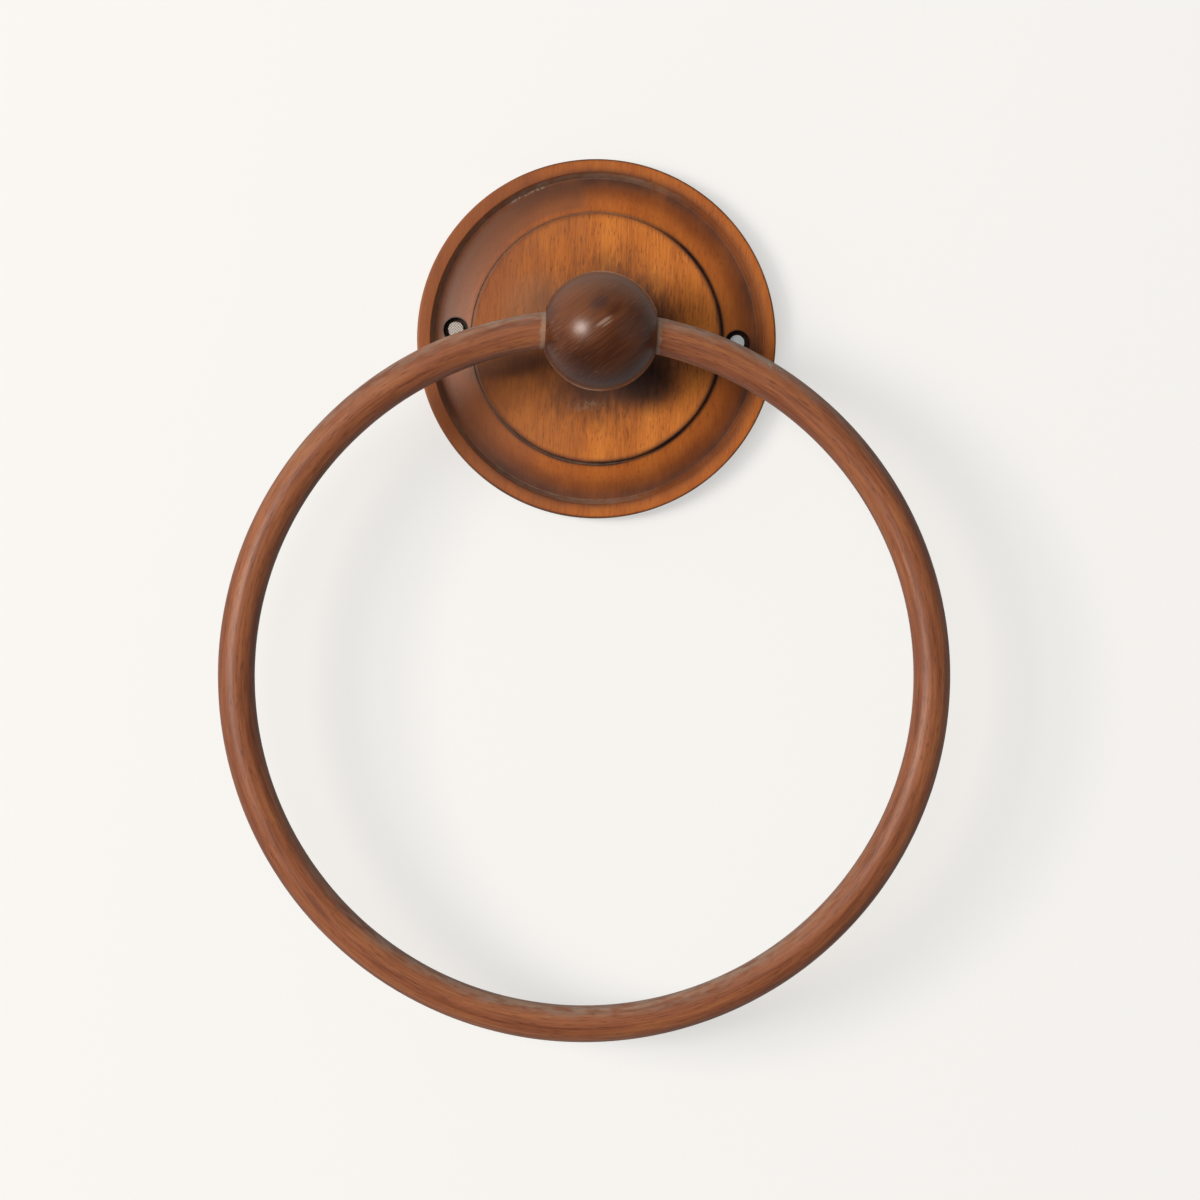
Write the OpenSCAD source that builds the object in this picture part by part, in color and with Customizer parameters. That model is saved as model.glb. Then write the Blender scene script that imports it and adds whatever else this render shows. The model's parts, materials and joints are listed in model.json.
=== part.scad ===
// Wall-mounted wooden towel ring: a turned wall plate, a ball knob on a post, and a
// bentwood ring that swings in the hole through the ball.
// The wall is the plane y = 0, the front faces -Y and +Z is up. The origin is the centre
// of the plate's back face.

/* [Wall plate] */
// Diameter of the round wall plate
plate_d = 108; // [104:1:140]
// Height of the rim's flat face above the wall
rim_h = 9; // [8:0.5:11]
// Width of the rim's flat face
rim_w = 3.9; // [3:0.1:5]
// Width of the slope from the rim down into the hollow
rim_slope_w = 1.5; // [1:0.1:2.5]
// Height of the hollow's floor above the wall
hollow_h = 5.8; // [5.4:0.1:6.6]
// Width of the hollow, from the foot of the rim's slope to the centre disc
hollow_w = 11.1; // [10:0.1:13]
// Width of the level strip at the foot of the rim's slope
floor_w = 0.6; // [0.4:0.1:1.2]
// Radius of the cove that rises from that strip
cove_r = 9; // [7:0.5:11]
// Angle of the slope from the cove up to the centre disc
hollow_slope = 24; // [16:1:28]
// Height of the step from the slope up to the centre disc
disc_step = 1.2; // [0.8:0.1:2]
// Depth of the quirk turned at the foot of the step
quirk = 0.7; // [0.4:0.1:1]
// Radius of the edges that the turner eased
eased_r = 0.6; // [0.3:0.1:0.8]

/* [Nail holes] */
// Diameter of each counterbore
counterbore_d = 7.3; // [6.5:0.1:8]
// Diameter of each through hole
nail_hole_d = 3.6; // [3.3:0.1:3.8]
// Thickness of the wood left under each nail's head
nail_seat_h = 3.4; // [2.5:0.1:4]
// How far each hole lies inside the middle of the band between disc and rim
nail_inset = 1.3; // [0:0.1:2]
// Height of the holes above the plate's centre
nail_line = 0.8; // [0:0.1:3]

/* [Wall nails] */
// Diameter of the nail's head
nail_head_d = 4.5; // [4.3:0.1:5.5]
// Thickness of the nail's head
nail_head_t = 1.2; // [0.8:0.1:1.6]
// Diameter of the thicker neck under the head
nail_neck_d = 3; // [2.8:0.1:3.2]
// Diameter of the shank in the wall
nail_shank_d = 2.5; // [2:0.1:2.6]
// Length of the point
nail_point_l = 5; // [3:0.5:8]
// Length of nail that stands out of the plate's back
nail_reach = 28; // [20:1:45]

/* [Knob] */
// Diameter of the ball
ball_d = 35; // [30:1:42]
// Distance of the ball's centre from the wall
ball_standoff = 46; // [42:1:60]
// Diameter of the post behind the ball
post_d = 14; // [12:0.5:18]
// Radius of the cove at the post's foot
foot_cove_r = 4; // [2:0.5:6]
// Thickness of the foot's edge
foot_t = 1; // [0.5:0.1:3]
// Diameter of the tenon glued into the plate
tenon_d = 12; // [10:0.5:12]
// Length of the tenon
tenon_l = 5.5; // [4:0.5:6]
// Width of the eased edge round each mouth of the ring's hole
mouth_ease = 0.4; // [0.2:0.1:1]

/* [Knob screw] */
// Diameter of the screw's shank
screw_d = 4; // [3:0.5:5]
// Diameter of the countersunk head
screw_head_d = 8; // [7:0.5:9]
// Overall length of the screw
screw_l = 25; // [18:1:28]
// Length of the screw's point
screw_point_l = 5; // [3:0.5:8]
// Width of the slot in the screw's head
screw_slot_w = 1; // [0.6:0.1:1.4]
// Depth of the slot in the screw's head
screw_slot_depth = 1; // [0.5:0.1:1.2]
// Depth of the screw's head below the plate's back
screw_sink = 0.3; // [0.1:0.1:0.5]

/* [Ring] */
// Diameter of the ring, measured across the middle of its rod
ring_d = 203; // [160:1:240]
// Diameter of the bent rod
rod_d = 10.8; // [9:0.1:12]
// Play round the rod where the ball's hole is tightest
ring_play = 0.28; // [0.25:0.01:0.6]
// Diameter of the dowel that joins the rod's two ends
dowel_d = 4; // [3:0.5:5]
// Length of the dowel
dowel_l = 20; // [14:1:26]
// Thickness of the glue line between the rod's ends
glue_t = 0.1; // [0.05:0.05:0.3]

/* [Fits] */
// Gap all round a peg, nail or screw in its hole
fit_gap = 0.05; // [0.03:0.01:0.1]
// Gap left at the end of a blind hole
end_gap = 0.3; // [0.2:0.1:0.5]

/* [Hidden] */
$fn = 96;
// How far a cut runs past the face that it opens
past = 1;

// The plate's section, from the rim inwards
plate_r = plate_d / 2;
rim_in_r = plate_r - rim_w;
floor_r = rim_in_r - rim_slope_w;
disc_r = floor_r - hollow_w;
cove_foot_r = floor_r - floor_w;
slope_foot_r = cove_foot_r - cove_r * sin(hollow_slope);
slope_foot_h = hollow_h + cove_r * (1 - cos(hollow_slope));
slope_top_h = slope_foot_h + (slope_foot_r - disc_r) * tan(hollow_slope);
disc_h = slope_top_h + disc_step;

// The plate hangs on its nails, so each nail lies at the top of its hole
nail_x = (disc_r + rim_in_r) / 2 - nail_inset;
nail_z = nail_line + (nail_hole_d - nail_neck_d) / 2 - fit_gap;

// The knob's section
ball_r = ball_d / 2;
post_r = post_d / 2;
foot_r = post_r + foot_cove_r;
foot_top_h = disc_h + foot_t;

// The rod bows inside the ball's straight hole, so the hole has room for half of that bow
// on each side, and the middle of the rod lies half the bow above the hole's axis
ring_r = ring_d / 2;
rod_r = rod_d / 2;
mouth_x = sqrt(ball_r * ball_r - rod_r * rod_r);
half_bow = (ring_r - sqrt(ring_r * ring_r - mouth_x * mouth_x)) / 2;
ring_hole_r = rod_r + half_bow + ring_play;
mouth_r = ring_hole_r + mouth_ease;
mouth_edge_x = sqrt(ball_r * ball_r - mouth_r * mouth_r);
ring_centre_z = half_bow - ring_r;

// The screw's countersunk head has a right-angled cone
screw_head_h = (screw_head_d - screw_d) / 2;

// Turns a piece that is drawn standing up so that it stands out from the wall
module on_wall() {
    rotate([90, 0, 0]) children();
}

// Half of the plate's section, with the distance from the wall along y
module plate_section() {
    difference() {
        union() {
            polygon([
                [0, 0],
                [plate_r - eased_r, 0],
                [plate_r, eased_r],
                [plate_r, rim_h - eased_r],
                [plate_r - eased_r, rim_h],
                [rim_in_r, rim_h],
                [floor_r, hollow_h],
                [cove_foot_r, hollow_h],
                [slope_foot_r, slope_foot_h],
                [disc_r, slope_top_h],
                [disc_r, disc_h - eased_r],
                [disc_r - eased_r, disc_h],
                [0, disc_h]
            ]);
            translate([plate_r - eased_r, rim_h - eased_r]) circle(r = eased_r);
            translate([disc_r - eased_r, disc_h - eased_r]) circle(r = eased_r);
        }
        intersection() {
            translate([cove_foot_r, hollow_h + cove_r]) circle(r = cove_r);
            translate([cove_foot_r - cove_r, 0]) square([cove_r, hollow_h + cove_r]);
        }
        translate([disc_r, slope_top_h]) polygon([[0, -quirk], [quirk, 0], [0, 0]]);
    }
}

// Hole and counterbore for one wall nail
module nail_hole() {
    translate([0, 0, -past]) cylinder(d = nail_hole_d, h = nail_seat_h + 2 * past);
    translate([0, 0, nail_seat_h]) cylinder(d = counterbore_d, h = rim_h);
}

// Countersunk hole through the plate for the knob's screw
module screw_hole() {
    clear_r = screw_d / 2 + fit_gap;
    head_r = screw_head_d / 2 + fit_gap;
    translate([0, 0, -past]) cylinder(r = clear_r, h = disc_h);
    translate([0, 0, -past]) cylinder(r = head_r, h = past + screw_sink);
    translate([0, 0, screw_sink]) cylinder(r1 = head_r, r2 = clear_r, h = screw_head_h);
}

module wall_plate() {
    color("#9c5a26")
    on_wall()
    difference() {
        rotate_extrude() plate_section();
        screw_hole();
        translate([0, 0, disc_h - tenon_l - end_gap])
            cylinder(d = tenon_d + 2 * fit_gap, h = tenon_l + end_gap + past);
        for (side = [-1, 1])
            translate([side * nail_x, nail_line, 0]) nail_hole();
    }
}

// Half of the knob's section, with the distance from the wall along y
module knob_section() {
    intersection() {
        union() {
            translate([0, ball_standoff]) circle(r = ball_r);
            translate([0, disc_h]) square([post_r, ball_standoff - disc_h]);
            translate([0, disc_h]) square([foot_r, foot_t]);
            translate([0, disc_h - tenon_l]) square([tenon_d / 2, tenon_l + foot_t]);
            difference() {
                translate([0, foot_top_h]) square([foot_r, foot_cove_r]);
                translate([foot_r, foot_top_h + foot_cove_r]) circle(r = foot_cove_r);
            }
        }
        square([ball_r + past, ball_standoff + ball_r + past]);
    }
}

// Straight hole through the ball for the ring, with its two mouths eased
module ring_hole() {
    rotate([0, 90, 0]) cylinder(r = ring_hole_r, h = ball_d + 2 * past, center = true);
    for (side = [-1, 1])
        translate([side * (mouth_edge_x - mouth_ease), 0, 0])
            rotate([0, side * 90, 0])
                cylinder(r1 = ring_hole_r, r2 = mouth_r + past, h = mouth_ease + past);
}

// Pilot hole for the screw, from the end of the tenon into the post
module pilot_hole() {
    pilot_r = screw_d / 2 + fit_gap;
    shank_h = screw_sink + screw_l - screw_point_l;
    cylinder(r = pilot_r, h = shank_h);
    translate([0, 0, shank_h]) cylinder(r1 = pilot_r, r2 = fit_gap, h = screw_point_l + end_gap);
}

module knob() {
    color("#4c2a1b")
    on_wall()
    difference() {
        rotate_extrude() knob_section();
        translate([0, 0, ball_standoff]) ring_hole();
        pilot_hole();
    }
}

module knob_screw() {
    shank_l = screw_l - screw_head_h - screw_point_l;
    color("#8b8a84")
    on_wall()
    translate([0, 0, screw_sink])
    difference() {
        union() {
            cylinder(d1 = screw_head_d, d2 = screw_d, h = screw_head_h);
            translate([0, 0, screw_head_h]) cylinder(d = screw_d, h = shank_l);
            translate([0, 0, screw_head_h + shank_l])
                cylinder(d1 = screw_d, d2 = 0, h = screw_point_l);
        }
        translate([-screw_head_d / 2, -screw_slot_w / 2, -past])
            cube([screw_head_d, screw_slot_w, past + screw_slot_depth]);
    }
}

// The ring hangs below the ball, and its rod's two ends meet inside the ball
module ring() {
    color("#85502f")
    on_wall()
    translate([0, ring_centre_z, ball_standoff])
    difference() {
        rotate_extrude() translate([ring_r, 0]) circle(r = rod_r);
        translate([-glue_t / 2, ring_r - rod_d, -rod_d]) cube([glue_t, 2 * rod_d, 2 * rod_d]);
        translate([0, ring_r, 0]) rotate([0, 90, 0])
            cylinder(d = dowel_d + 2 * fit_gap, h = dowel_l + 2 * end_gap, center = true);
    }
}

module ring_dowel() {
    color("#c49a63")
    on_wall()
    translate([0, half_bow, ball_standoff]) rotate([0, 90, 0])
        cylinder(d = dowel_d, h = dowel_l, center = true);
}

// One nail, from its head to its point in the wall
module wall_nail() {
    shank_l = nail_reach - nail_point_l;
    on_wall() {
        translate([0, 0, nail_seat_h]) cylinder(d = nail_head_d, h = nail_head_t);
        cylinder(d = nail_neck_d, h = nail_seat_h);
        translate([0, 0, -shank_l]) cylinder(d = nail_shank_d, h = shank_l);
        translate([0, 0, -nail_reach]) cylinder(d1 = 0, d2 = nail_shank_d, h = nail_point_l);
    }
}

module left_wall_nail() {
    color("#d9d3c7")
    translate([-nail_x, 0, nail_z]) wall_nail();
}

module right_wall_nail() {
    color("#b4bdc2")
    translate([nail_x, 0, nail_z]) wall_nail();
}

wall_plate();
knob();
knob_screw();
ring();
ring_dowel();
left_wall_nail();
right_wall_nail();
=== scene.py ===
"""Looks of a wall-mounted wooden towel ring: a turned wall plate, a ball knob on a post, and
a bentwood ring that hangs in the hole through the ball.

The wall is the plane y = 0, the room is on the -Y side and +Z is up. Lengths in the lists
below are millimetres, and everything that Blender gets is metres.
"""
import json
import math
from functools import partial

import bpy
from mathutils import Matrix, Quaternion, Vector


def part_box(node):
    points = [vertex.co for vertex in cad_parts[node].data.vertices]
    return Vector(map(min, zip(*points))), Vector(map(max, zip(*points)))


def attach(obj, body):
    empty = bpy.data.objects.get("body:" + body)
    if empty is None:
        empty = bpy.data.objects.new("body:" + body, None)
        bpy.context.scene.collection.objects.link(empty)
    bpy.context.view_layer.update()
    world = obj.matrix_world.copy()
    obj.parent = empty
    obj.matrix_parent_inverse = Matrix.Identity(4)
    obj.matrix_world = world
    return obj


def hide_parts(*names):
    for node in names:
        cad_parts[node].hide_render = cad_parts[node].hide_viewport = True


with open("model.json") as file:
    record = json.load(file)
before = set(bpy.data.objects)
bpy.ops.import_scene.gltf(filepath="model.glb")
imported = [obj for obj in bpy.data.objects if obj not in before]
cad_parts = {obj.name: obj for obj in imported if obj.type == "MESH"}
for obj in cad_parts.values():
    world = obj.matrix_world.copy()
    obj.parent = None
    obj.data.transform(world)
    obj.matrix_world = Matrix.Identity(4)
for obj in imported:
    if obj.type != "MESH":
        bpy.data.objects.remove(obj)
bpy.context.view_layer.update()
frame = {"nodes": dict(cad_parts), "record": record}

MM = 0.001
record = frame["record"]
bodies = {node: body for body, nodes in record["behaviour"]["bodies"].items() for node in nodes}


def node_box(node):
    """Lowest and highest corner of a CAD node, in millimetres."""
    lowest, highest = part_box(node)
    return Vector(lowest) / MM, Vector(highest) / MM


# ---------------------------------------------------------------- sizes, in millimetres
plate_low, plate_high = node_box("wall_plate")
plate_r = plate_high.x
disc_h = -plate_low.y
rim_h = 9.0
rim_w = 3.9
rim_slope_w = 1.5
hollow_h = 5.8
hollow_w = 11.1
floor_w = 0.6
cove_r = 9.0
hollow_slope = math.radians(24)
quirk = 0.7
eased_r = 0.6
rim_in_r = plate_r - rim_w
floor_r = rim_in_r - rim_slope_w
disc_r = floor_r - hollow_w

counterbore_r = 3.65
nail_hole_r = 1.8
nail_seat_h = 3.4
nail_line = 0.8
nail_low, nail_high = node_box("right_wall_nail")
nail_x = (nail_low.x + nail_high.x) / 2
nail_z = (nail_low.z + nail_high.z) / 2
nail_head_r = (nail_high.x - nail_low.x) / 2
nail_tip_h = -nail_high.y
nail_face_h = -nail_low.y
nail_neck_r = 1.5
nail_shank_r = 1.25
nail_point_l = 5.0
groove_w = 0.2
groove_pitch = 0.6

knob_low, knob_high = node_box("knob")
ball_r = knob_high.z
ball_h = -knob_low.y - ball_r
post_r = 7.0
foot_cove_r = 4.0
foot_t = 1.0
tenon_r = 6.0
tenon_l = 5.5
ring_hole_r = 6.37
mouth_ease = 0.4

screw_low, screw_high = node_box("knob_screw")
screw_r = 2.0
screw_head_r = screw_high.x
screw_sink = 0.3
screw_slot = 1.0
thread_pitch = 1.8
thread_core_r = 1.4
screw_point_l = 5.0
fit_gap = 0.05
end_gap = 0.3

ring_low, ring_high = node_box("ring")
rod_r = (ring_high.y - ring_low.y) / 2
ring_r = ring_high.x - rod_r
ring_y = (ring_high.y + ring_low.y) / 2
ring_z = ring_low.z + ring_r + rod_r
glue_t = 0.1
dowel_low, dowel_high = node_box("ring_dowel")


# ---------------------------------------------------------------- shaping
def rounded(corners, closed=True):
    """The line through (radius, height, rounding) corners, each rounded off with an arc."""
    arc_step = math.radians(7)
    line = []
    for index, (radius, height, rounding) in enumerate(corners):
        corner = Vector((radius, height))
        if not rounding:
            line.append(corner)
            continue
        before = (Vector(corners[index - 1][:2]) - corner).normalized()
        after = (Vector(corners[(index + 1) % len(corners)][:2]) - corner).normalized()
        half = before.angle(after) / 2
        middle = corner + (before + after).normalized() * rounding / math.sin(half)
        first = (corner + before * rounding / math.tan(half) - middle).normalized()
        last = (corner + after * rounding / math.tan(half) - middle).normalized()
        steps = max(2, round(first.angle(last) / arc_step))
        line += [middle + first.slerp(last, step / steps) * rounding for step in range(steps + 1)]
    if closed:
        line.append(line[0])
    return line


def arc(centre_h, radius, start, end, steps):
    """Points (radius, height) of an arc about a centre on the axis, from the pole's angle start to end."""
    angles = [start + (end - start) * step / steps for step in range(steps + 1)]
    return [Vector((radius * math.sin(a), centre_h + radius * math.cos(a))) for a in angles]


def turned(name, line, steps):
    """Draws one vertex out along a line of (radius, height) points and spins it round the Y axis.
    Height runs out from the wall, along -Y."""
    bpy.ops.object.select_all(action="DESELECT")
    first = line[0] * MM
    bpy.ops.mesh.primitive_plane_add(size=MM, location=(first.x, -first.y, 0))
    piece = bpy.context.object
    piece.name = name
    piece.data.name = name
    bpy.ops.object.mode_set(mode="EDIT")
    bpy.ops.mesh.select_all(action="SELECT")
    bpy.ops.mesh.merge(type="CENTER")
    for here, there in zip(line, line[1:]):
        step = (there - here) * MM
        bpy.ops.mesh.extrude_region_move(TRANSFORM_OT_translate={"value": (step.x, -step.y, 0)})
    bpy.ops.mesh.select_all(action="SELECT")
    bpy.ops.mesh.spin(steps=steps, angle=math.tau, center=(0, 0, 0), axis=(0, 1, 0))
    close_up(piece)
    return piece


def close_up(piece):
    """Merges a piece's doubles, points its faces outwards and puts its origin at the world's."""
    bpy.ops.mesh.select_all(action="SELECT")
    bpy.ops.mesh.remove_doubles(threshold=0.001 * MM)
    bpy.ops.mesh.normals_make_consistent(inside=False)
    bpy.ops.object.mode_set(mode="OBJECT")
    settle(piece)


def settle(piece):
    """Moves a piece's place, turn and scale into its mesh."""
    bpy.ops.object.select_all(action="DESELECT")
    piece.select_set(True)
    bpy.context.view_layer.objects.active = piece
    bpy.ops.object.transform_apply(location=True, rotation=True, scale=True)


def modify(piece, kind, **settings):
    """Adds one modifier to a piece and applies it."""
    bpy.context.view_layer.objects.active = piece
    modifier = piece.modifiers.new(kind, kind)
    for name, setting in settings.items():
        setattr(modifier, name, setting)
    bpy.ops.object.modifier_apply(modifier=modifier.name)


def cut(piece, cutter, operation="DIFFERENCE"):
    """Cuts one piece with another, which is then deleted."""
    modify(piece, "BOOLEAN", operation=operation, solver="EXACT", object=cutter)
    bpy.data.objects.remove(cutter)


def moved(piece, turn=(0, 0, 0), place=(0, 0, 0)):
    """Turns a piece about the origin, then moves it, in millimetres."""
    piece.rotation_euler = turn
    piece.location = Vector(place) * MM
    settle(piece)
    return piece


def smooth(piece, angle=32):
    """Shades a piece smooth across every edge flatter than the angle."""
    bpy.ops.object.select_all(action="DESELECT")
    piece.select_set(True)
    bpy.context.view_layer.objects.active = piece
    bpy.ops.object.shade_smooth_by_angle(angle=math.radians(angle))


def fit(piece, node, material):
    """Gives a finished piece its material and its body, and hides the CAD node that it stands for."""
    smooth(piece)
    piece.data.materials.clear()
    piece.data.materials.append(material)
    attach(piece, bodies[node])
    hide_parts(node)


# ---------------------------------------------------------------- materials
def linear(colour):
    """Turns an sRGB hex colour into the linear RGBA that nodes work in."""
    parts = [int(colour[place:place + 2], 16) / 255 for place in (1, 3, 5)]
    return [c / 12.92 if c <= 0.04045 else ((c + 0.055) / 1.055) ** 2.4 for c in parts] + [1.0]


def add(tree, kind, *feeds, names=None, stops=(), **settings):
    """Adds one node with its settings. feeds fill its inputs in order and names fill them by
    name: each is a number, a tuple, a hex colour, or the node or socket that is linked in.
    stops are a ramp's (place, value or hex colour)."""
    made = tree.nodes.new("ShaderNode" + kind)
    for name, setting in settings.items():
        setattr(made, name, setting)
    inputs = [socket for socket in made.inputs if socket.enabled]
    pairs = list(zip(inputs, feeds))
    pairs += [(socket, names[socket.name]) for socket in inputs if names and socket.name in names]
    for socket, feed in pairs:
        if isinstance(feed, bpy.types.Node):
            feed = next(output for output in feed.outputs if output.enabled)
        if isinstance(feed, bpy.types.NodeSocket):
            tree.links.new(feed, socket)
        elif feed is not None:
            socket.default_value = linear(feed) if isinstance(feed, str) else feed
    for index, (place, value) in enumerate(stops):
        points = made.color_ramp.elements
        if index == 0:
            points.remove(points[1])
            points[0].position = place
        point = points.new(place) if index else points[0]
        point.color = linear(value) if isinstance(value, str) else (value, value, value, 1)
    return made


def blank(name):
    """A new material with no nodes, and a short way to add them."""
    material = bpy.data.materials.new(name)
    material.use_nodes = True
    material.node_tree.nodes.clear()
    return material, partial(add, material.node_tree)


def millimetres(new):
    """The place on the piece at rest, in millimetres."""
    place = new("TexCoord").outputs["Object"]
    return new("VectorMath", place, operation="SCALE", names={"Scale": 1 / MM})


def streaks(new, place, size, detail=2.0, shift=0.0):
    """Noise of a given size (x, y, z) in millimetres, as grain is drawn out along one of them."""
    scale = [1 / length for length in size]
    drawn = new("Mapping", place, names={"Location": (shift, shift, shift), "Scale": scale})
    return new("TexNoise", names={"Vector": drawn, "Scale": 1.0, "Detail": detail})


def patch(new, place, middle, size, turn=0.0):
    """1 in the middle of an oval patch, fading to 0 at its edge. size is its half-width along
    x, y and z in millimetres, and turn leans it about Y, in degrees."""
    oval = new("Mapping", place, vector_type="TEXTURE", names={
        "Location": middle, "Rotation": (0, -math.radians(turn), 0), "Scale": size})
    from_middle = new("VectorMath", oval, operation="LENGTH")
    return new("MapRange", from_middle, 1.0, 0.3, interpolation_type="SMOOTHSTEP")


def sector(new, around, middle, reach, fade):
    """1 within reach degrees of one direction round the plate, and 0 beyond fade degrees more."""
    off = new("Math", around, math.radians(middle), operation="SUBTRACT")
    off = new("Math", off, math.pi, -math.pi, operation="WRAP")
    off = new("Math", off, operation="ABSOLUTE")
    return new("MapRange", off, math.radians(reach + fade), math.radians(reach),
               interpolation_type="SMOOTHSTEP")


def by_radius(*stops):
    """Ramp stops at radii in millimetres, as shares of the plate's own radius."""
    return [(radius / plate_r, value) for radius, value in stops]


def plate_wood():
    """Stained light hardwood, turned, its hollows glazed dark and all of it under a satin
    varnish: upright grain with short dark pores, nearly black-brown in the corners where the
    glaze lies, grey dust where it can settle, and bare wood at the back. Light and shade are
    painted in as well: shadows of the ball and the left rod, shade on the quirk's right side
    and in the counterbores, a sheen on the hollow and a highlight along its edges at the upper
    left, and light on the rim's inner slope at the left."""
    material, new = blank("stained_hardwood_satin_varnish")
    place = millimetres(new)
    split = new("SeparateXYZ", place)
    across, depth, up = split.outputs["X"], split.outputs["Y"], split.outputs["Z"]
    flat = new("VectorMath", place, (1, 0, 1), operation="MULTIPLY")
    radius = new("VectorMath", flat, operation="LENGTH")
    around = new("Math", up, across, operation="ARCTAN2")
    share = new("Math", radius, plate_r, operation="DIVIDE")

    # Upright grain: broad bands, fine lines, and pores drawn a little coarser than life
    broad = streaks(new, place, (7, 9, 60), 2.0, 3.1)
    fine = streaks(new, place, (0.55, 1.4, 7), 4.0, 7.7)
    figure = new("Math", broad, 0.5, operation="MULTIPLY")
    figure = new("Math", fine, 0.5, figure, operation="MULTIPLY_ADD")
    colour = new("ValToRGB", figure, stops=[
        (0.36, "#a25618"), (0.45, "#b66622"), (0.54, "#c37026"), (0.66, "#ce7d2f")])
    pores = streaks(new, place, (0.30, 0.6, 2.4), 1.5, 1.3)
    pores = new("MapRange", pores, 0.58, 0.70, interpolation_type="SMOOTHSTEP")
    dark_pores = new("Math", pores, 0.6, operation="MULTIPLY")
    colour = new("Mix", dark_pores, colour, "#5c2a0e", data_type="RGBA")

    # The stain took redder out on the hollow and the rim, and browner at the left
    outer = new("ValToRGB", share, stops=by_radius((37, 0.0), (39, 0.55), (45, 0.7), (51, 0.5)))
    outer = new("Math", outer, 0.9, operation="MULTIPLY")
    colour = new("Mix", outer, colour, "#9e4f1e", data_type="RGBA")
    blotches = streaks(new, place, (9, 9, 16), 3.0, 6.2)
    blotches = new("MapRange", blotches, 0.35, 0.65, -7.0, 7.0, interpolation_type="SMOOTHSTEP")
    leftward = new("Math", across, blotches, operation="ADD")
    leftward = new("MapRange", leftward, 6.0, -34.0, 0.0, 0.6, interpolation_type="SMOOTHSTEP")
    colour = new("Mix", leftward, colour, "#7a452a", data_type="RGBA")

    # Painted sheen on the hollow at the upper left, partly a darker, dustier stain and partly a
    # painted reflection of the bright upper left in the varnish; and a pale greyish patch on the
    # disc beside the ball
    haze_and_painted_sheen = new("ValToRGB", share, stops=by_radius(
        (38.6, 0.0), (40.0, 0.7), (46.5, 0.8), (48.0, 0.2), (50.6, 0.1), (54, 0.1)))
    haze_and_painted_sheen = new("Math", haze_and_painted_sheen, sector(new, around, 140, 39, 7), operation="MULTIPLY")
    haze_and_painted_sheen = new("Math", haze_and_painted_sheen, 0.85, operation="MULTIPLY")
    colour = new("Mix", haze_and_painted_sheen, colour, "#70472f", data_type="RGBA")
    beside_ball = patch(new, place, (-18, -disc_h, 9), (15, 9, 13))
    beside_ball = new("Math", beside_ball, 0.3, operation="MULTIPLY")
    colour = new("Mix", beside_ball, colour, "#8f7058", data_type="RGBA")

    # Dark glaze: a stained halo round the post with flame-like edges, then the quirk, the
    # rim's foot and the outer edge, where it was not wiped off. Parts of it are painted shade:
    # the halo darkens further to the right and below as the ball's shadow, the quirk darkens on
    # its right side, and at the left the rim's foot is lightened as painted light
    flames = streaks(new, place, (1.3, 3, 5), 5.0, 11.0)
    flames = new("Math", flames, 0.5, operation="SUBTRACT")
    halo_radius = new("Math", flames, 12.0, radius, operation="MULTIPLY_ADD")
    halo_share = new("Math", halo_radius, plate_r, operation="DIVIDE")
    halo = new("ValToRGB", halo_share, stops=by_radius(
        (14, 0.97), (18, 0.88), (21, 0.72), (23.5, 0.50), (26, 0.26), (29, 0.08), (32, 0.0)))
    # Painted shadow: the halo is strongest to the right and below, where the ball's shadow falls
    halo_shadow_side = sector(new, around, -20, 70, 90)
    halo_shadow_side = new("MapRange", halo_shadow_side, 0.0, 1.0, 0.42, 1.0, interpolation_type="SMOOTHSTEP")
    halo = new("Math", halo, halo_shadow_side, operation="MULTIPLY")

    foot = new("ValToRGB", share, stops=by_radius(
        (40.0, 0.0), (41.5, 0.06), (43.9, 0.40), (45.8, 0.62), (47.0, 0.78), (48.2, 0.86),
        (48.7, 0.72), (49.3, 0.54), (49.9, 0.54), (50.3, 0.62), (50.8, 0.38), (51.7, 0.14),
        (52.8, 0.06), (53.4, 0.16), (53.8, 0.80)))
    past_floor = new("MapRange", radius, 48.0, 49.2, 0.4, 0.9, interpolation_type="SMOOTHSTEP")
    # Painted light: at the left the glaze on the rim's inner slope is thinned, lightening a slope that
    # faces away from the light
    painted_light_left = new("Math", past_floor, sector(new, around, 170, 35, 40), operation="MULTIPLY")
    glaze_kept = new("Math", 1.0, painted_light_left, operation="SUBTRACT")
    foot = new("Math", foot, glaze_kept, operation="MULTIPLY")

    quirk_glaze_and_shade = new("ValToRGB", share, stops=by_radius(
        (35.8, 0.0), (36.5, 0.30), (37.1, 0.80), (37.5, 0.95), (38.2, 0.90), (38.6, 0.25),
        (39.2, 0.0)))
    # Painted shade: the quirk is darker on its right side, where its step faces away from the light
    quirk_shade_side = sector(new, around, -38, 75, 45)
    quirk_shade_side = new("MapRange", quirk_shade_side, 0.0, 1.0, 0.5, 1.0, interpolation_type="SMOOTHSTEP")
    quirk_glaze_and_shade = new("Math", quirk_glaze_and_shade, quirk_shade_side, operation="MULTIPLY")

    wiping = streaks(new, place, (9, 9, 12), 3.0, 4.4)
    wiping = new("MapRange", wiping, 0.3, 0.7, 0.85, 1.12, interpolation_type="SMOOTHSTEP")
    corners = new("Math", foot, quirk_glaze_and_shade, operation="MAXIMUM")
    corners = new("Math", corners, wiping, operation="MULTIPLY")
    glaze_and_shade = new("Math", halo, corners, operation="MAXIMUM", use_clamp=True)
    colour = new("Mix", glaze_and_shade, colour, "#3c2117", data_type="RGBA")
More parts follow.
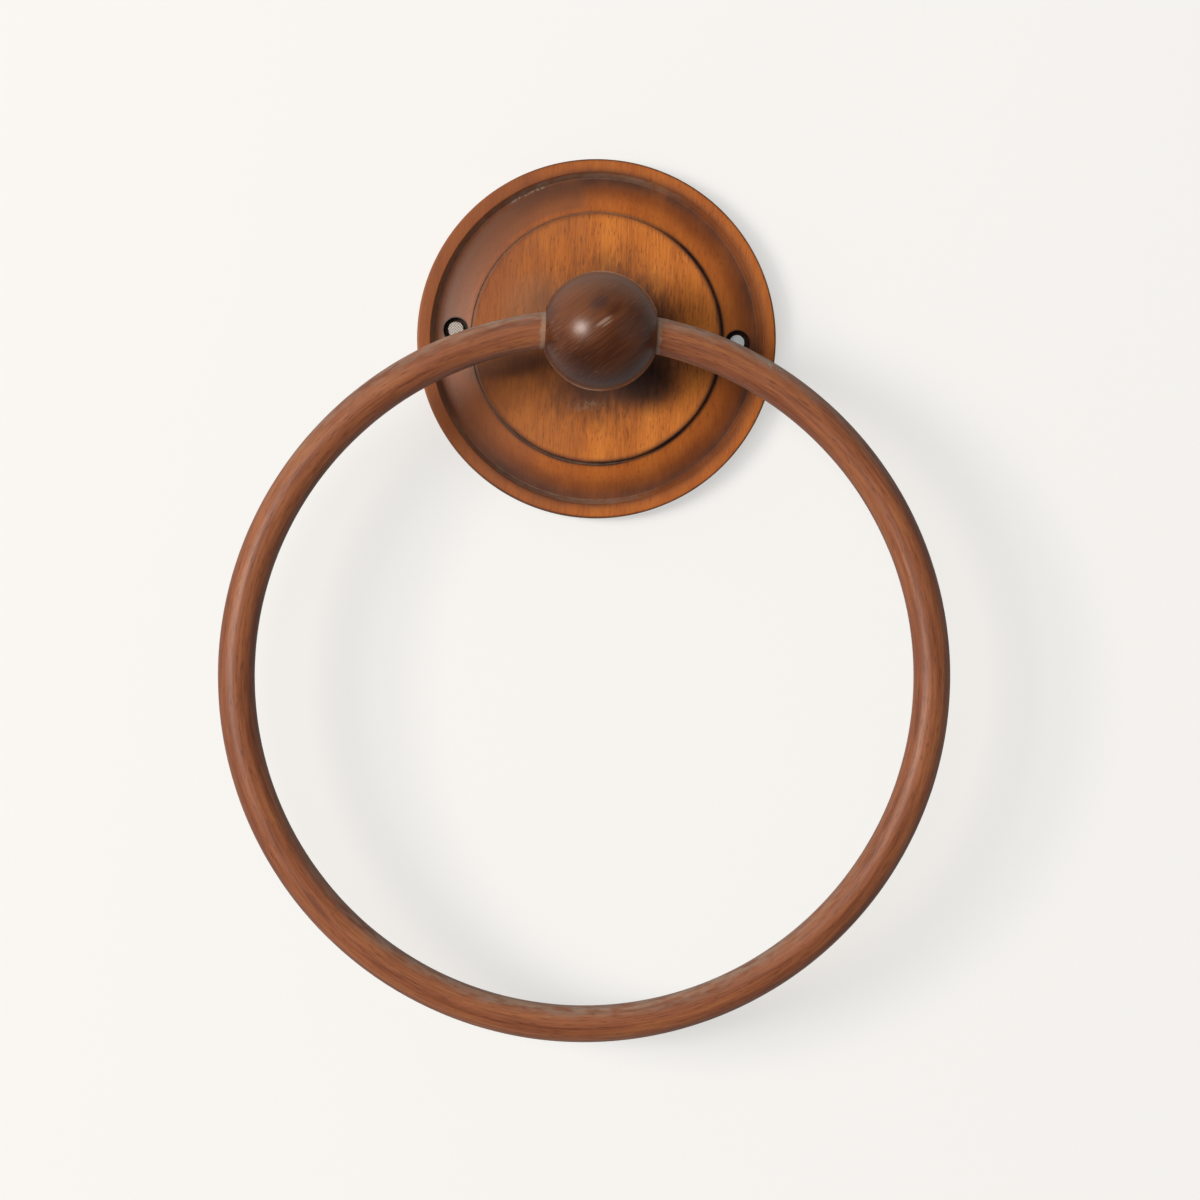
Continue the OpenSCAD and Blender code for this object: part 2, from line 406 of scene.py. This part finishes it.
    # Painted shadows: nearly black patches where the ball's shadow falls at its lower right and the left
    # rod's shadow falls below that rod
    for middle, size, turn, strength in (
            ((16, -disc_h, -13), (13, 9, 11), 0, 0.8),
            ((-27, -disc_h, -9.5), (20, 9, 5.5), 13, 0.55)):
        painted_shadow = patch(new, place, middle, size, turn)
        painted_shadow = new("Math", painted_shadow, strength, operation="MULTIPLY")
        colour = new("Mix", painted_shadow, colour, "#220d05", data_type="RGBA")

    # Dust on what faces up at the lower left; a thin pale line along the quirk and the rim's
    # foot that is dust and a painted highlight, strongest at the upper left where those edges
    # face the light; flecks caught at the upper left; and a pale mark below the ball
    facing = new("SeparateXYZ", new("TexCoord").outputs["Normal"]).outputs["Z"]
    settled = new("MapRange", facing, -0.1, 0.5, interpolation_type="SMOOTHSTEP")
    settled = new("Math", settled, sector(new, around, -116, 32, 26), operation="MULTIPLY")
    in_corners = new("ValToRGB", share, stops=by_radius(
        (36.9, 0.0), (37.5, 0.45), (38.2, 0.35), (39.0, 0.0),
        (46.8, 0.0), (48.0, 0.35), (49.0, 0.52), (49.7, 0.45), (50.1, 0.0)))
    settled = new("Math", settled, in_corners, operation="MULTIPLY")
    # Partly painted highlight: this pale line is dust, and light on the edges where they face the upper
    # left
    line_dust_and_highlight = new("ValToRGB", share, stops=by_radius(
        (37.3, 0.0), (37.5, 0.40), (37.8, 0.40), (38.1, 0.0),
        (48.2, 0.0), (48.9, 0.50), (49.7, 0.50), (50.1, 0.0)))
    line_highlight_side = sector(new, around, 145, 60, 40)
    line_highlight_side = new("MapRange", line_highlight_side, 0.0, 1.0, 0.12, 1.0, interpolation_type="SMOOTHSTEP")
    line_dust_and_highlight = new("Math", line_dust_and_highlight, line_highlight_side, operation="MULTIPLY")
    dust = new("Math", settled, line_dust_and_highlight, operation="MAXIMUM")

    flecks = streaks(new, place, (0.8, 0.8, 0.8), 3.0, 2.9)
    flecks = new("MapRange", flecks, 0.42, 0.58, interpolation_type="SMOOTHSTEP")
    caught = new("ValToRGB", share, stops=by_radius(
        (47.8, 0.0), (48.5, 0.9), (49.5, 0.9), (50.0, 0.0)))
    caught = new("Math", caught, sector(new, around, 117.5, 6, 4), operation="MULTIPLY")
    caught = new("Math", caught, flecks, operation="MULTIPLY")
    dust = new("Math", dust, caught, operation="MAXIMUM")
    pale_mark = patch(new, place, (-2.4, -disc_h, -20.3), (7, 9, 2.4), 8)
    pale_mark = new("Math", pale_mark, flecks, operation="MULTIPLY")
    pale_mark = new("Math", pale_mark, 0.22, operation="MULTIPLY")
    dust = new("Math", dust, pale_mark, operation="MAXIMUM")

    patchy = streaks(new, place, (2.5, 2.5, 2.5), 4.0, 5.5)
    patchy = new("MapRange", patchy, 0.25, 0.7, 0.5, 1.1, interpolation_type="SMOOTHSTEP")
    dust = new("Math", dust, patchy, operation="MULTIPLY", use_clamp=True)
    colour = new("Mix", dust, colour, "#958676", data_type="RGBA")

    # The counterbores are darkened nearly black: a dark stain, and painted shade deep in the holes
    beside = new("Math", across, operation="ABSOLUTE")
    beside = new("Math", beside, nail_x, operation="SUBTRACT")
    above = new("Math", up, nail_line, operation="SUBTRACT")
    from_nail = new("VectorMath", new("CombineXYZ", beside, 0.0, above), operation="LENGTH")
    bore_stain_and_shade = new("MapRange", from_nail, counterbore_r + 0.5, counterbore_r, 0.0, 0.95,
               interpolation_type="SMOOTHSTEP")
    colour = new("Mix", bore_stain_and_shade, colour, "#1c0f0a", data_type="RGBA")

    # The back, against the wall, was left bare
    back = new("MapRange", depth, -0.6, -0.3, interpolation_type="SMOOTHSTEP")
    bare = new("ValToRGB", figure, stops=[(0.38, "#9c7148"), (0.62, "#bd9264")])
    bare_pores = new("Math", pores, 0.4, operation="MULTIPLY")
    bare = new("Mix", bare_pores, bare, "#6d4a2a", data_type="RGBA")
    colour = new("Mix", back, colour, bare, data_type="RGBA")

    rough = new("Mix", dust, 0.50, 0.8)
    rough = new("Mix", back, rough, 0.72)
    bump = new("Bump", invert=True, names={
        "Strength": 0.3, "Distance": 0.05 * MM, "Height": pores})
    wood = new("BsdfPrincipled", names={
        "Base Color": colour, "Roughness": rough, "Normal": bump})
    new("OutputMaterial", wood)
    return material


def knob_wood():
    """Dark brown hardwood, turned and polished: long fine lines that slant up to the right
    across the face, a thin bloom of dust that shows at the edges, painted light above and at
    the upper left, painted shade below, and painted reflections on the face: a dark place at
    the top and a pale diagonal streak in front."""
    material, new = blank("polished_dark_hardwood")
    place = millimetres(new)
    slant = new("VectorRotate", place, names={"Angle": math.radians(40)}, rotation_type="Y_AXIS")
    broad = streaks(new, slant, (24, 12, 10), 1.0, 2.2)
    fine = streaks(new, slant, (16, 3, 0.4), 3.0, 8.4)
    figure = new("Math", broad, 0.55, operation="MULTIPLY")
    figure = new("Math", fine, 0.45, figure, operation="MULTIPLY_ADD")
    colour = new("ValToRGB", figure, stops=[
        (0.38, "#3f1f10"), (0.46, "#4d2814"), (0.54, "#5a301a"), (0.64, "#6d4026")])
    scratches = streaks(new, slant, (30, 3, 0.3), 1.0, 5.9)
    scratches = new("MapRange", scratches, 0.62, 0.74, 0.0, 0.5, interpolation_type="SMOOTHSTEP")
    colour = new("Mix", scratches, colour, "#8a5a3c", data_type="RGBA")

    # Dust and painted light on what faces up; below, painted shade, darker towards the bottom
    facing = new("SeparateXYZ", new("TexCoord").outputs["Normal"]).outputs["Z"]
    dust_and_light_above = new("MapRange", facing, 0.15, 0.95, 0.0, 0.55, interpolation_type="SMOOTHSTEP")
    colour = new("Mix", dust_and_light_above, colour, "#80583f", data_type="RGBA")
    painted_shade_below = new("MapRange", facing, 0.0, -0.7, 0.0, 0.45, interpolation_type="SMOOTHSTEP")
    colour = new("Mix", painted_shade_below, colour, "#2d1409", data_type="RGBA")

    # Marks on the face: a warm lighter place at the upper left, painted light on the lit side;
    # a dark bluish place at the top, a painted reflection, and a stain beside it; bloom at the
    # right; a smear at the bottom; then the two strands of a pale diagonal streak, a painted
    # reflection
    front = -ball_h - ball_r
    for middle, size, turn, tone, strength in (
            ((-10.0, front, 7.0), (11, 15, 10), 30, "#7c4a2c", 0.45),
            ((-1.1, front, 7.4), (4.8, 6, 2.8), 30, "#3a2a2a", 0.6),
            ((3.4, front, 5.6), (4.6, 6, 2.8), 35, "#331507", 0.50),
            ((9.5, front, 0.5), (7.5, 9, 6.5), 0, "#66493f", 0.30),
            ((-1.0, front, -12.7), (1.9, 7, 0.8), -10, "#8d7a70", 0.50),
            ((0.3, front, 1.75), (3.6, 6, 0.75), 37, "#a48f80", 0.55),
            ((1.4, front, 1.15), (2.8, 6, 0.40), 38, "#a8968a", 0.35)):
        mark = patch(new, place, middle, size, turn)
        mark = new("Math", mark, strength, operation="MULTIPLY")
        colour = new("Mix", mark, colour, tone, data_type="RGBA")
    bump = new("Bump", names={"Strength": 0.06, "Distance": 0.02 * MM, "Height": fine})
    wood = new("BsdfPrincipled", names={
        "Base Color": colour, "Roughness": 0.31, "Normal": bump, "Sheen Weight": 0.30,
        "Sheen Roughness": 0.25, "Sheen Tint": "#d3beac"})
    new("OutputMaterial", wood)
    return material


def ring_wood():
    """Brown beech, steam-bent and varnished satin: lines run lengthwise round the ring, darker
    and more orange by turns, rubbed pale beside the ball, with dust on its upper side."""
    material, new = blank("bent_beech_satin_varnish")
    place = millimetres(new)
    centred = new("VectorMath", place, (0, -ring_y, -ring_z), operation="ADD")
    split = new("SeparateXYZ", centred)
    across, depth, up = split.outputs["X"], split.outputs["Y"], split.outputs["Z"]
    under = new("Math", up, -1.0, operation="MULTIPLY")
    turn = new("Math", across, under, operation="ARCTAN2")
    along = new("Math", turn, ring_r, operation="MULTIPLY")
    out = new("VectorMath", centred, (1, 0, 1), operation="MULTIPLY")
    out = new("VectorMath", out, operation="LENGTH")
    out = new("Math", out, ring_r, operation="SUBTRACT")
    rod = new("CombineXYZ", out, depth, along)

    broad = streaks(new, rod, (2.8, 2.8, 40), 3.0, 4.0)
    fine = streaks(new, rod, (0.55, 0.55, 12), 3.0, 9.0)
    figure = new("Math", broad, 0.55, operation="MULTIPLY")
    figure = new("Math", fine, 0.45, figure, operation="MULTIPLY_ADD")
    colour = new("ValToRGB", figure, stops=[
        (0.36, "#703d25"), (0.45, "#80492d"), (0.53, "#8d5334"), (0.64, "#9b603b")])
    pores = streaks(new, rod, (0.28, 0.28, 3.5), 1.0, 1.7)
    pores = new("MapRange", pores, 0.58, 0.72, interpolation_type="SMOOTHSTEP")
    dark_pores = new("Math", pores, 0.5, operation="MULTIPLY")
    colour = new("Mix", dark_pores, colour, "#42200f", data_type="RGBA")

    # Rubbed pale where the rod comes out of the ball, with a ragged edge
    from_ball = new("Math", across, operation="ABSOLUTE")
    ragged = streaks(new, rod, (1.5, 1.5, 1.5), 3.0, 3.3)
    from_ball = new("Math", ragged, 1.6, from_ball, operation="MULTIPLY_ADD")
    rubbed = new("MapRange", from_ball, 18.8, 17.8, 0.0, 0.5, interpolation_type="SMOOTHSTEP")
    on_top = new("MapRange", up, 0.0, 20.0, interpolation_type="SMOOTHSTEP")
    rubbed = new("Math", rubbed, on_top, operation="MULTIPLY")
    colour = new("Mix", rubbed, colour, "#a48e78", data_type="RGBA")

    # Patchy dust on what faces up, and lint on the outside at the upper right
    facing = new("SeparateXYZ", new("TexCoord").outputs["Normal"]).outputs["Z"]
    settled = new("MapRange", facing, 0.15, 0.95, 0.0, 0.62, interpolation_type="SMOOTHSTEP")
    patchy = streaks(new, rod, (1.6, 1.6, 5), 5.0, 6.5)
    patchy = new("MapRange", patchy, 0.3, 0.68, 0.15, 1.0, interpolation_type="SMOOTHSTEP")
    dust = new("Math", settled, patchy, operation="MULTIPLY")
    lint_at = math.radians(28)
    lint_r = ring_r + 4
    lint = patch(new, centred, (lint_r * math.sin(lint_at), 0, lint_r * math.cos(lint_at)),
                 (9, 7, 3.2), -28)
    clumps = streaks(new, place, (0.9, 0.9, 0.9), 3.0, 1.9)
    clumps = new("MapRange", clumps, 0.48, 0.56, interpolation_type="SMOOTHSTEP")
    lint = new("Math", lint, clumps, operation="MULTIPLY")
    dust = new("Math", dust, lint, operation="MAXIMUM")
    colour = new("Mix", dust, colour, "#a79785", data_type="RGBA")

    rough = new("Mix", dust, 0.45, 0.8)
    bump = new("Bump", invert=True, names={
        "Strength": 0.3, "Distance": 0.05 * MM, "Height": pores})
    wood = new("BsdfPrincipled", names={
        "Base Color": colour, "Roughness": rough, "Normal": bump, "Sheen Weight": 0.06,
        "Sheen Roughness": 0.4, "Sheen Tint": "#e6d6c8"})
    new("OutputMaterial", wood)
    return material


def bare_beech():
    """Planed beech, left bare: pale, with short fine flecks along the dowel."""
    material, new = blank("bare_beech")
    flecks = streaks(new, millimetres(new), (8, 0.5, 0.5), 3.0, 2.5)
    colour = new("ValToRGB", flecks, stops=[(0.35, "#a87c4e"), (0.65, "#d9b585")])
    wood = new("BsdfPrincipled", names={"Base Color": colour, "Roughness": 0.65})
    new("OutputMaterial", wood)
    return material


def steel(name, dark, light, grain, roughness, metallic):
    """Drawn steel, bare or zinc plated: grey metal, clouded in patches grain millimetres wide.
    Bare steel is all metal. Zinc that has gone matt in damp air looks only partly metallic."""
    material, new = blank(name)
    patches = streaks(new, millimetres(new), (grain, grain, grain), 4.0, 0.7)
    colour = new("ValToRGB", patches, stops=[(0.3, dark), (0.7, light)])
    rough = new("MapRange", patches, 0.3, 0.7, roughness + 0.1, roughness - 0.1,
                interpolation_type="SMOOTHSTEP")
    metal = new("BsdfPrincipled", names={
        "Base Color": colour, "Metallic": metallic, "Roughness": rough})
    new("OutputMaterial", metal)
    return material


def nail_paint():
    """White paint baked on a checkered nail: off-white, darkened brown along its grooves."""
    material, new = blank("white_baked_paint")
    place = millimetres(new)
    grubby = streaks(new, place, (0.5, 0.5, 0.5), 3.0, 4.2)
    colour = new("ValToRGB", grubby, stops=[(0.35, "#efe6da"), (0.65, "#fdf8f0")])
    centred = new("VectorMath", place, (nail_x, 0, -nail_z), operation="ADD")
    for lean in (45, -45):
        leant = new("VectorRotate", centred, names={"Angle": math.radians(lean)},
                    rotation_type="Y_AXIS")
        up = new("SeparateXYZ", leant).outputs["Z"]
        from_groove = new("Math", up, groove_pitch / 2, operation="PINGPONG")
        groove_dark = new("MapRange", from_groove, groove_w * 0.75, groove_w * 0.25, 0.0, 0.9,
                   interpolation_type="SMOOTHSTEP")
        colour = new("Mix", groove_dark, colour, "#5a3b28", data_type="RGBA")
    paint = new("BsdfPrincipled", names={"Base Color": colour, "Roughness": 0.45})
    new("OutputMaterial", paint)
    return material


# ---------------------------------------------------------------- pieces
def turned_plate():
    """The wall plate: rim, hollow, quirk and disc, with the knob's socket and screw hole."""
    cove_corner_r = floor_r - floor_w - cove_r * math.tan(hollow_slope / 2)
    slope_top_h = hollow_h + (cove_corner_r - disc_r) * math.tan(hollow_slope)
    quirk_w = quirk / (1 + math.tan(hollow_slope))
    quirk_h = slope_top_h - quirk_w * math.tan(hollow_slope)
    socket_h = disc_h - tenon_l - end_gap
    hole_r = screw_r + fit_gap
    head_r = screw_head_r + fit_gap
    section = rounded([
        (head_r, 0, 0),
        (plate_r, 0, eased_r),
        (plate_r, rim_h, eased_r),
        (rim_in_r, rim_h, 0.35),
        (floor_r, hollow_h, 0.4),
        (cove_corner_r, hollow_h, cove_r - 0.5),
        (disc_r + quirk_w, quirk_h, 0.12),
        (disc_r, slope_top_h - quirk, 0.1),
        (disc_r, disc_h, eased_r),
        (26, disc_h, 0),
        (tenon_r + fit_gap, disc_h, 0),
        (tenon_r + fit_gap, socket_h, 0),
        (hole_r, socket_h, 0),
        (hole_r, screw_sink + head_r - hole_r, 0),
        (head_r, screw_sink, 0),
    ])
    plate = turned("turned_plate", section, 288)
    for side in (-1, 1):
        hole = rounded([
            (0, -1, 0), (nail_hole_r, -1, 0), (nail_hole_r, nail_seat_h, 0.15),
            (counterbore_r, nail_seat_h, 0.2), (counterbore_r, 12, 0), (0, 12, 0)], closed=False)
        cutter = turned("nail_hole", hole, 64)
        cut(plate, moved(cutter, place=(side * nail_x, 0, nail_line)))
    return plate


def ball_knob():
    """The knob: tenon, foot, post and ball, with the ring's hole and the screw's pilot hole."""
    foot_r = post_r + foot_cove_r
    pilot_r = screw_r + fit_gap
    pilot_h = -screw_low.y - screw_point_l
    neck = math.pi - math.asin(post_r / ball_r)
    section = [Vector((0, pilot_h + screw_point_l + end_gap)), Vector((pilot_r, pilot_h))]
    section += rounded([
        (pilot_r, disc_h - tenon_l, 0),
        (tenon_r, disc_h - tenon_l, 0.3),
        (tenon_r, disc_h, 0),
        (foot_r, disc_h, 0),
        (foot_r, disc_h + foot_t, 0.25),
        (post_r, disc_h + foot_t, foot_cove_r - 0.3),
        (post_r, ball_h + ball_r * math.cos(neck), 0),
    ], closed=False)
    section += arc(ball_h, ball_r, neck, 0, 72)[1:]
    knob = turned("ball_knob", section, 192)
    wide = ring_hole_r + 4
    reach = math.sqrt(ball_r ** 2 - (ring_hole_r + mouth_ease) ** 2) - mouth_ease
    mouth = rounded([
        (0, -reach - 4, 0), (wide, -reach - 4, 0), (ring_hole_r, -reach, 1.0),
        (ring_hole_r, reach, 1.0), (wide, reach + 4, 0), (0, reach + 4, 0)], closed=False)
    cutter = turned("ring_hole", mouth, 96)
    cut(knob, moved(cutter, turn=(0, 0, math.pi / 2), place=(0, -ball_h, 0)))
    return knob


def bent_ring():
    """The ring: a rod bent round until its ends meet, with a glue line and a dowel's hole."""
    bpy.ops.object.select_all(action="DESELECT")
    top = Vector((0, ring_y, ring_z + ring_r)) * MM
    bpy.ops.mesh.primitive_circle_add(
        vertices=64, radius=rod_r * MM, location=top, rotation=(0, math.pi / 2, 0))
    ring = bpy.context.object
    ring.name = "bent_ring"
    ring.data.name = "bent_ring"
    bpy.ops.object.mode_set(mode="EDIT")
    bpy.ops.mesh.select_all(action="SELECT")
    bpy.ops.mesh.spin(steps=512, angle=math.tau, center=(0, ring_y * MM, ring_z * MM),
                      axis=(0, 1, 0))
    close_up(ring)

    # A rod bent by hand is nowhere quite round: it is a little slack, and never proud
    rod_slack = 0.06
    slack = bpy.data.textures.new("rod_slack", "CLOUDS")
    slack.noise_scale = 16 * MM
    modify(ring, "DISPLACE", texture=slack, strength=-rod_slack * MM, mid_level=0.0,
           texture_coords="LOCAL")

    bpy.ops.mesh.primitive_cube_add(size=MM, location=top, scale=(glue_t, 14, 14))
    glue_line = bpy.context.object
    settle(glue_line)
    cut(ring, glue_line)
    hole_l = dowel_high.x - dowel_low.x + 2 * end_gap
    hole_r = (dowel_high.z - dowel_low.z) / 2 + fit_gap
    hole = [Vector(point) for point in (
        (0, -hole_l / 2), (hole_r, -hole_l / 2), (hole_r, hole_l / 2), (0, hole_l / 2))]
    cutter = turned("dowel_hole", hole, 48)
    cut(ring, moved(cutter, turn=(0, 0, math.pi / 2), place=top / MM))
    return ring


def wall_nail(name, face):
    """A wire nail that points into the wall. face is the head's own (radius, height) line, from
    its rim to its middle, with heights from the head's top."""
    top = nail_face_h
    line = [Vector((0, nail_tip_h)), Vector((nail_shank_r, nail_tip_h + nail_point_l))]
    line += rounded([
        (nail_shank_r, 0, 0), (nail_neck_r, 0.3, 0), (nail_neck_r, nail_seat_h, 0.1),
        (nail_head_r, nail_seat_h, 0.12), (nail_head_r, top + face[0][1], 0)], closed=False)
    line += [Vector((radius, top + height)) for radius, height in face]
    return turned(name, line, 64)


def checkered_nail():
    """The left nail: a flat head, cut across both ways with fine V grooves."""
    face = [(nail_head_r - 0.08, -0.02), (nail_head_r - 0.25, 0), (0, 0)]
    nail = wall_nail("checkered_nail", face)
    grooves = 9
    groove_l = 8
    for lean in (math.pi / 4, -math.pi / 4):
        bpy.ops.object.select_all(action="DESELECT")
        bpy.ops.mesh.primitive_cube_add(size=MM, scale=(groove_l, groove_w, groove_w))
        cutter = bpy.context.object
        moved(cutter, turn=(math.pi / 4, 0, 0))
        modify(cutter, "ARRAY", count=grooves, use_relative_offset=False,
               use_constant_offset=True, constant_offset_displace=(0, 0, groove_pitch * MM))
        moved(cutter, place=(0, -nail_face_h, -groove_pitch * (grooves - 1) / 2))
        cut(nail, moved(cutter, turn=(0, lean, 0)))
    return moved(nail, place=(-nail_x, 0, nail_z))


def bright_nail():
    """The right nail: a low domed head with a narrow flat rim."""
    dome_r = 4.9
    dome = arc(-dome_r, dome_r, math.asin((nail_head_r - 0.2) / dome_r), 0, 10)
    face = [(nail_head_r - 0.06, dome[0].y + 0.02)] + [(p.x, p.y) for p in dome]
    return moved(wall_nail("bright_nail", face), place=(nail_x, 0, nail_z))


def slotted_screw():
    """The knob's screw: a countersunk slotted head at the plate's back, a plain shank, and a
    thread cut up to the point."""
    length = -screw_low.y
    shank_end = 7.0
    point_h = length - screw_point_l
    line = rounded([
        (0, screw_sink, 0), (screw_head_r, screw_sink, 0.08),
        (screw_r, screw_sink + screw_head_r - screw_r, 0.3), (screw_r, shank_end, 0),
        (thread_core_r, shank_end + 0.6, 0), (thread_core_r, point_h, 0), (0, length, 0)],
        closed=False)
    screw = turned("slotted_screw", line, 64)

    # The thread is a three-cornered wire wound round the core and joined to it
    turns = int((point_h - shank_end - 0.6) / thread_pitch)
    bpy.ops.object.select_all(action="DESELECT")
    bpy.ops.mesh.primitive_circle_add(vertices=3, radius=0.5 * MM, fill_type="NOTHING")
    thread = bpy.context.object
    across = (screw_r - 0.02 - thread_core_r + 0.1) * MM
    bpy.ops.object.mode_set(mode="EDIT")
    bpy.ops.mesh.select_all(action="SELECT")
    bpy.ops.transform.rotate(value=math.pi / 2, orient_axis="Z", center_override=(0, 0, 0))
    bpy.ops.object.mode_set(mode="OBJECT")
    corners = thread.data.vertices
    tip = max(vertex.co.x for vertex in corners)
    tail = min(vertex.co.x for vertex in corners)
    thread.scale = (across / (tip - tail), 0.9, 1)
    settle(thread)
    out = screw_r - 0.02 - max(vertex.co.x for vertex in corners) / MM
    moved(thread, place=(out, -(shank_end + 1.2), 0))
    modify(thread, "SCREW", axis="Y", angle=math.tau, screw_offset=-thread_pitch * MM,
           iterations=turns, steps=48, render_steps=48, use_merge_vertices=False)
    bpy.ops.object.mode_set(mode="EDIT")
    bpy.ops.mesh.select_all(action="SELECT")
    bpy.ops.mesh.fill_holes(sides=3)
    close_up(thread)
    cut(screw, thread, "UNION")

    bpy.ops.object.select_all(action="DESELECT")
    bpy.ops.mesh.primitive_cube_add(
        size=MM, location=(0, -(screw_sink + screw_slot / 2 - 0.5) * MM, 0),
        scale=(10, screw_slot + 1, screw_slot))
    slot = bpy.context.object
    settle(slot)
    cut(screw, moved(slot, turn=(0, math.radians(20), 0)))
    return screw


fit(turned_plate(), "wall_plate", plate_wood())
fit(ball_knob(), "knob", knob_wood())
fit(bent_ring(), "ring", ring_wood())
fit(checkered_nail(), "left_wall_nail", nail_paint())
fit(bright_nail(), "right_wall_nail",
    steel("bright_zinc_plate", "#e6eef0", "#fbffff", 0.8, 0.30, 0.05))
fit(slotted_screw(), "knob_screw", steel("plain_steel", "#6f6d69", "#a3a19b", 1.5, 0.4, 1.0))

dowel = frame["nodes"]["ring_dowel"].data
dowel.materials.clear()
dowel.materials.append(bare_beech())


# ---------------------------------------------------------------- wall, light and camera
def wall_paint():
    """Matt white wall paint. Only its room side shows: from behind, one sees through it."""
    material, new = blank("matt_white_wall_paint")
    lit = new("BsdfDiffuse", "#f4f4f2")
    even = new("Emission", "#f4f3f0", 1.0)
    paint = new("MixShader", 0.60, lit, even)
    behind = new("NewGeometry").outputs["Backfacing"]
    new("OutputMaterial", new("MixShader", behind, paint, new("BsdfTransparent")))
    return material


def wall():
    """The wall, just behind the plate. Light passes through it, because the world behind it
    already gives what a white wall would throw back."""
    bpy.ops.object.select_all(action="DESELECT")
    gap = 0.2
    bpy.ops.mesh.primitive_plane_add(
        size=4, location=(0, gap * MM, 0), rotation=(math.pi / 2, 0, 0))
    plane = bpy.context.object
    plane.name = "wall"
    settle(plane)
    plane.data.materials.append(wall_paint())
    plane.visible_diffuse = False
    plane.visible_glossy = False
    plane.visible_transmission = False
    plane.visible_shadow = False


def room_light():
    """A white room round the wall, dim in front and bright at the upper left; behind is the
    light that a white wall would throw back, brighter at the left."""
    world = bpy.data.worlds.new("white_room")
    bpy.context.scene.world = world
    world.use_nodes = True
    world.node_tree.nodes.clear()
    new = partial(add, world.node_tree)
    look = new("TexCoord").outputs["Generated"]
    split = new("SeparateXYZ", look)
    towards_side = new("VectorMath", look, tuple(Vector((-0.8, -0.2, 0.55)).normalized()),
                       operation="DOT_PRODUCT")
    room = new("MapRange", towards_side, -0.6, 1.0, 0.14, 0.34, interpolation_type="SMOOTHSTEP")
    left = new("MapRange", split.outputs["X"], 0.0, -0.12, interpolation_type="SMOOTHSTEP")
    above = new("MapRange", split.outputs["Z"], -0.1, 0.15, interpolation_type="SMOOTHSTEP")
    corner = new("Math", left, above, operation="MULTIPLY")
    mirrored = new("Math", corner, 0.20, 0.08, operation="MULTIPLY_ADD")
    path = new("LightPath")
    room = new("Mix", path.outputs["Is Glossy Ray"], room, mirrored)
    wall_side = new("MapRange", split.outputs["Y"], -0.35, 0.1, interpolation_type="SMOOTHSTEP")
    thrown_back = new("MapRange", split.outputs["X"], 0.6, -0.6, 0.34, 0.46,
                      interpolation_type="SMOOTHSTEP")
    light = new("Mix", wall_side, room, thrown_back)
    seen = new("Background", "#f4f3ef", 1.0)
    lights = new("Background", "#ffffff", light)
    new("OutputWorld", new("MixShader", path.outputs["Is Camera Ray"], lights, seen))


def area_light(name, left, up, away, width, height, energy, roll=0):
    """A lamp that faces the knob from left degrees to its left and up degrees above it. roll
    lowers its left end by that many degrees."""
    turn, lift = math.radians(left), math.radians(up)
    place = Vector((-math.sin(turn) * math.cos(lift), -math.cos(turn) * math.cos(lift),
                    math.sin(lift))) * away
    facing = (-place).to_track_quat("-Z", "Y") @ Quaternion((0, 0, 1), math.radians(roll))
    bpy.ops.object.light_add(type="AREA", location=place, rotation=facing.to_euler())
    lamp = bpy.context.object
    lamp.name = name
    lamp.data.shape = "RECTANGLE"
    lamp.data.size = width
    lamp.data.size_y = height
    lamp.data.energy = energy
    lamp.visible_camera = False
    return lamp


def studio_lights():
    """A long low soft light from the front and left, and the window that the ball mirrors."""
    soft = area_light("soft_strip_light", 20, 3, 6.0, 3.4, 0.8, 150, roll=8)
    soft.visible_glossy = False
    window = area_light("window", 39.5, 1.5, 3.0, 1.05, 0.85, 56)
    window.data.color = linear("#fff4ea")[:3]


def camera():
    """The camera stands level with the ring, a little left, and leans by 2.6 degrees."""
    place = Vector((-33.7, -1241.8, -75.1)) * MM
    facing = Vector((0.031, 1.0, -0.00278)).to_track_quat("-Z", "Y")
    lean = Quaternion((0, 0, 1), 0.045)
    bpy.ops.object.camera_add(location=place, rotation=(facing @ lean).to_euler())
    made = bpy.context.object
    made.data.lens = 123.0
    made.data.sensor_width = 36.0
    bpy.context.scene.camera = made


wall()
room_light()
studio_lights()
camera()
bpy.context.scene.view_settings.view_transform = "Standard"
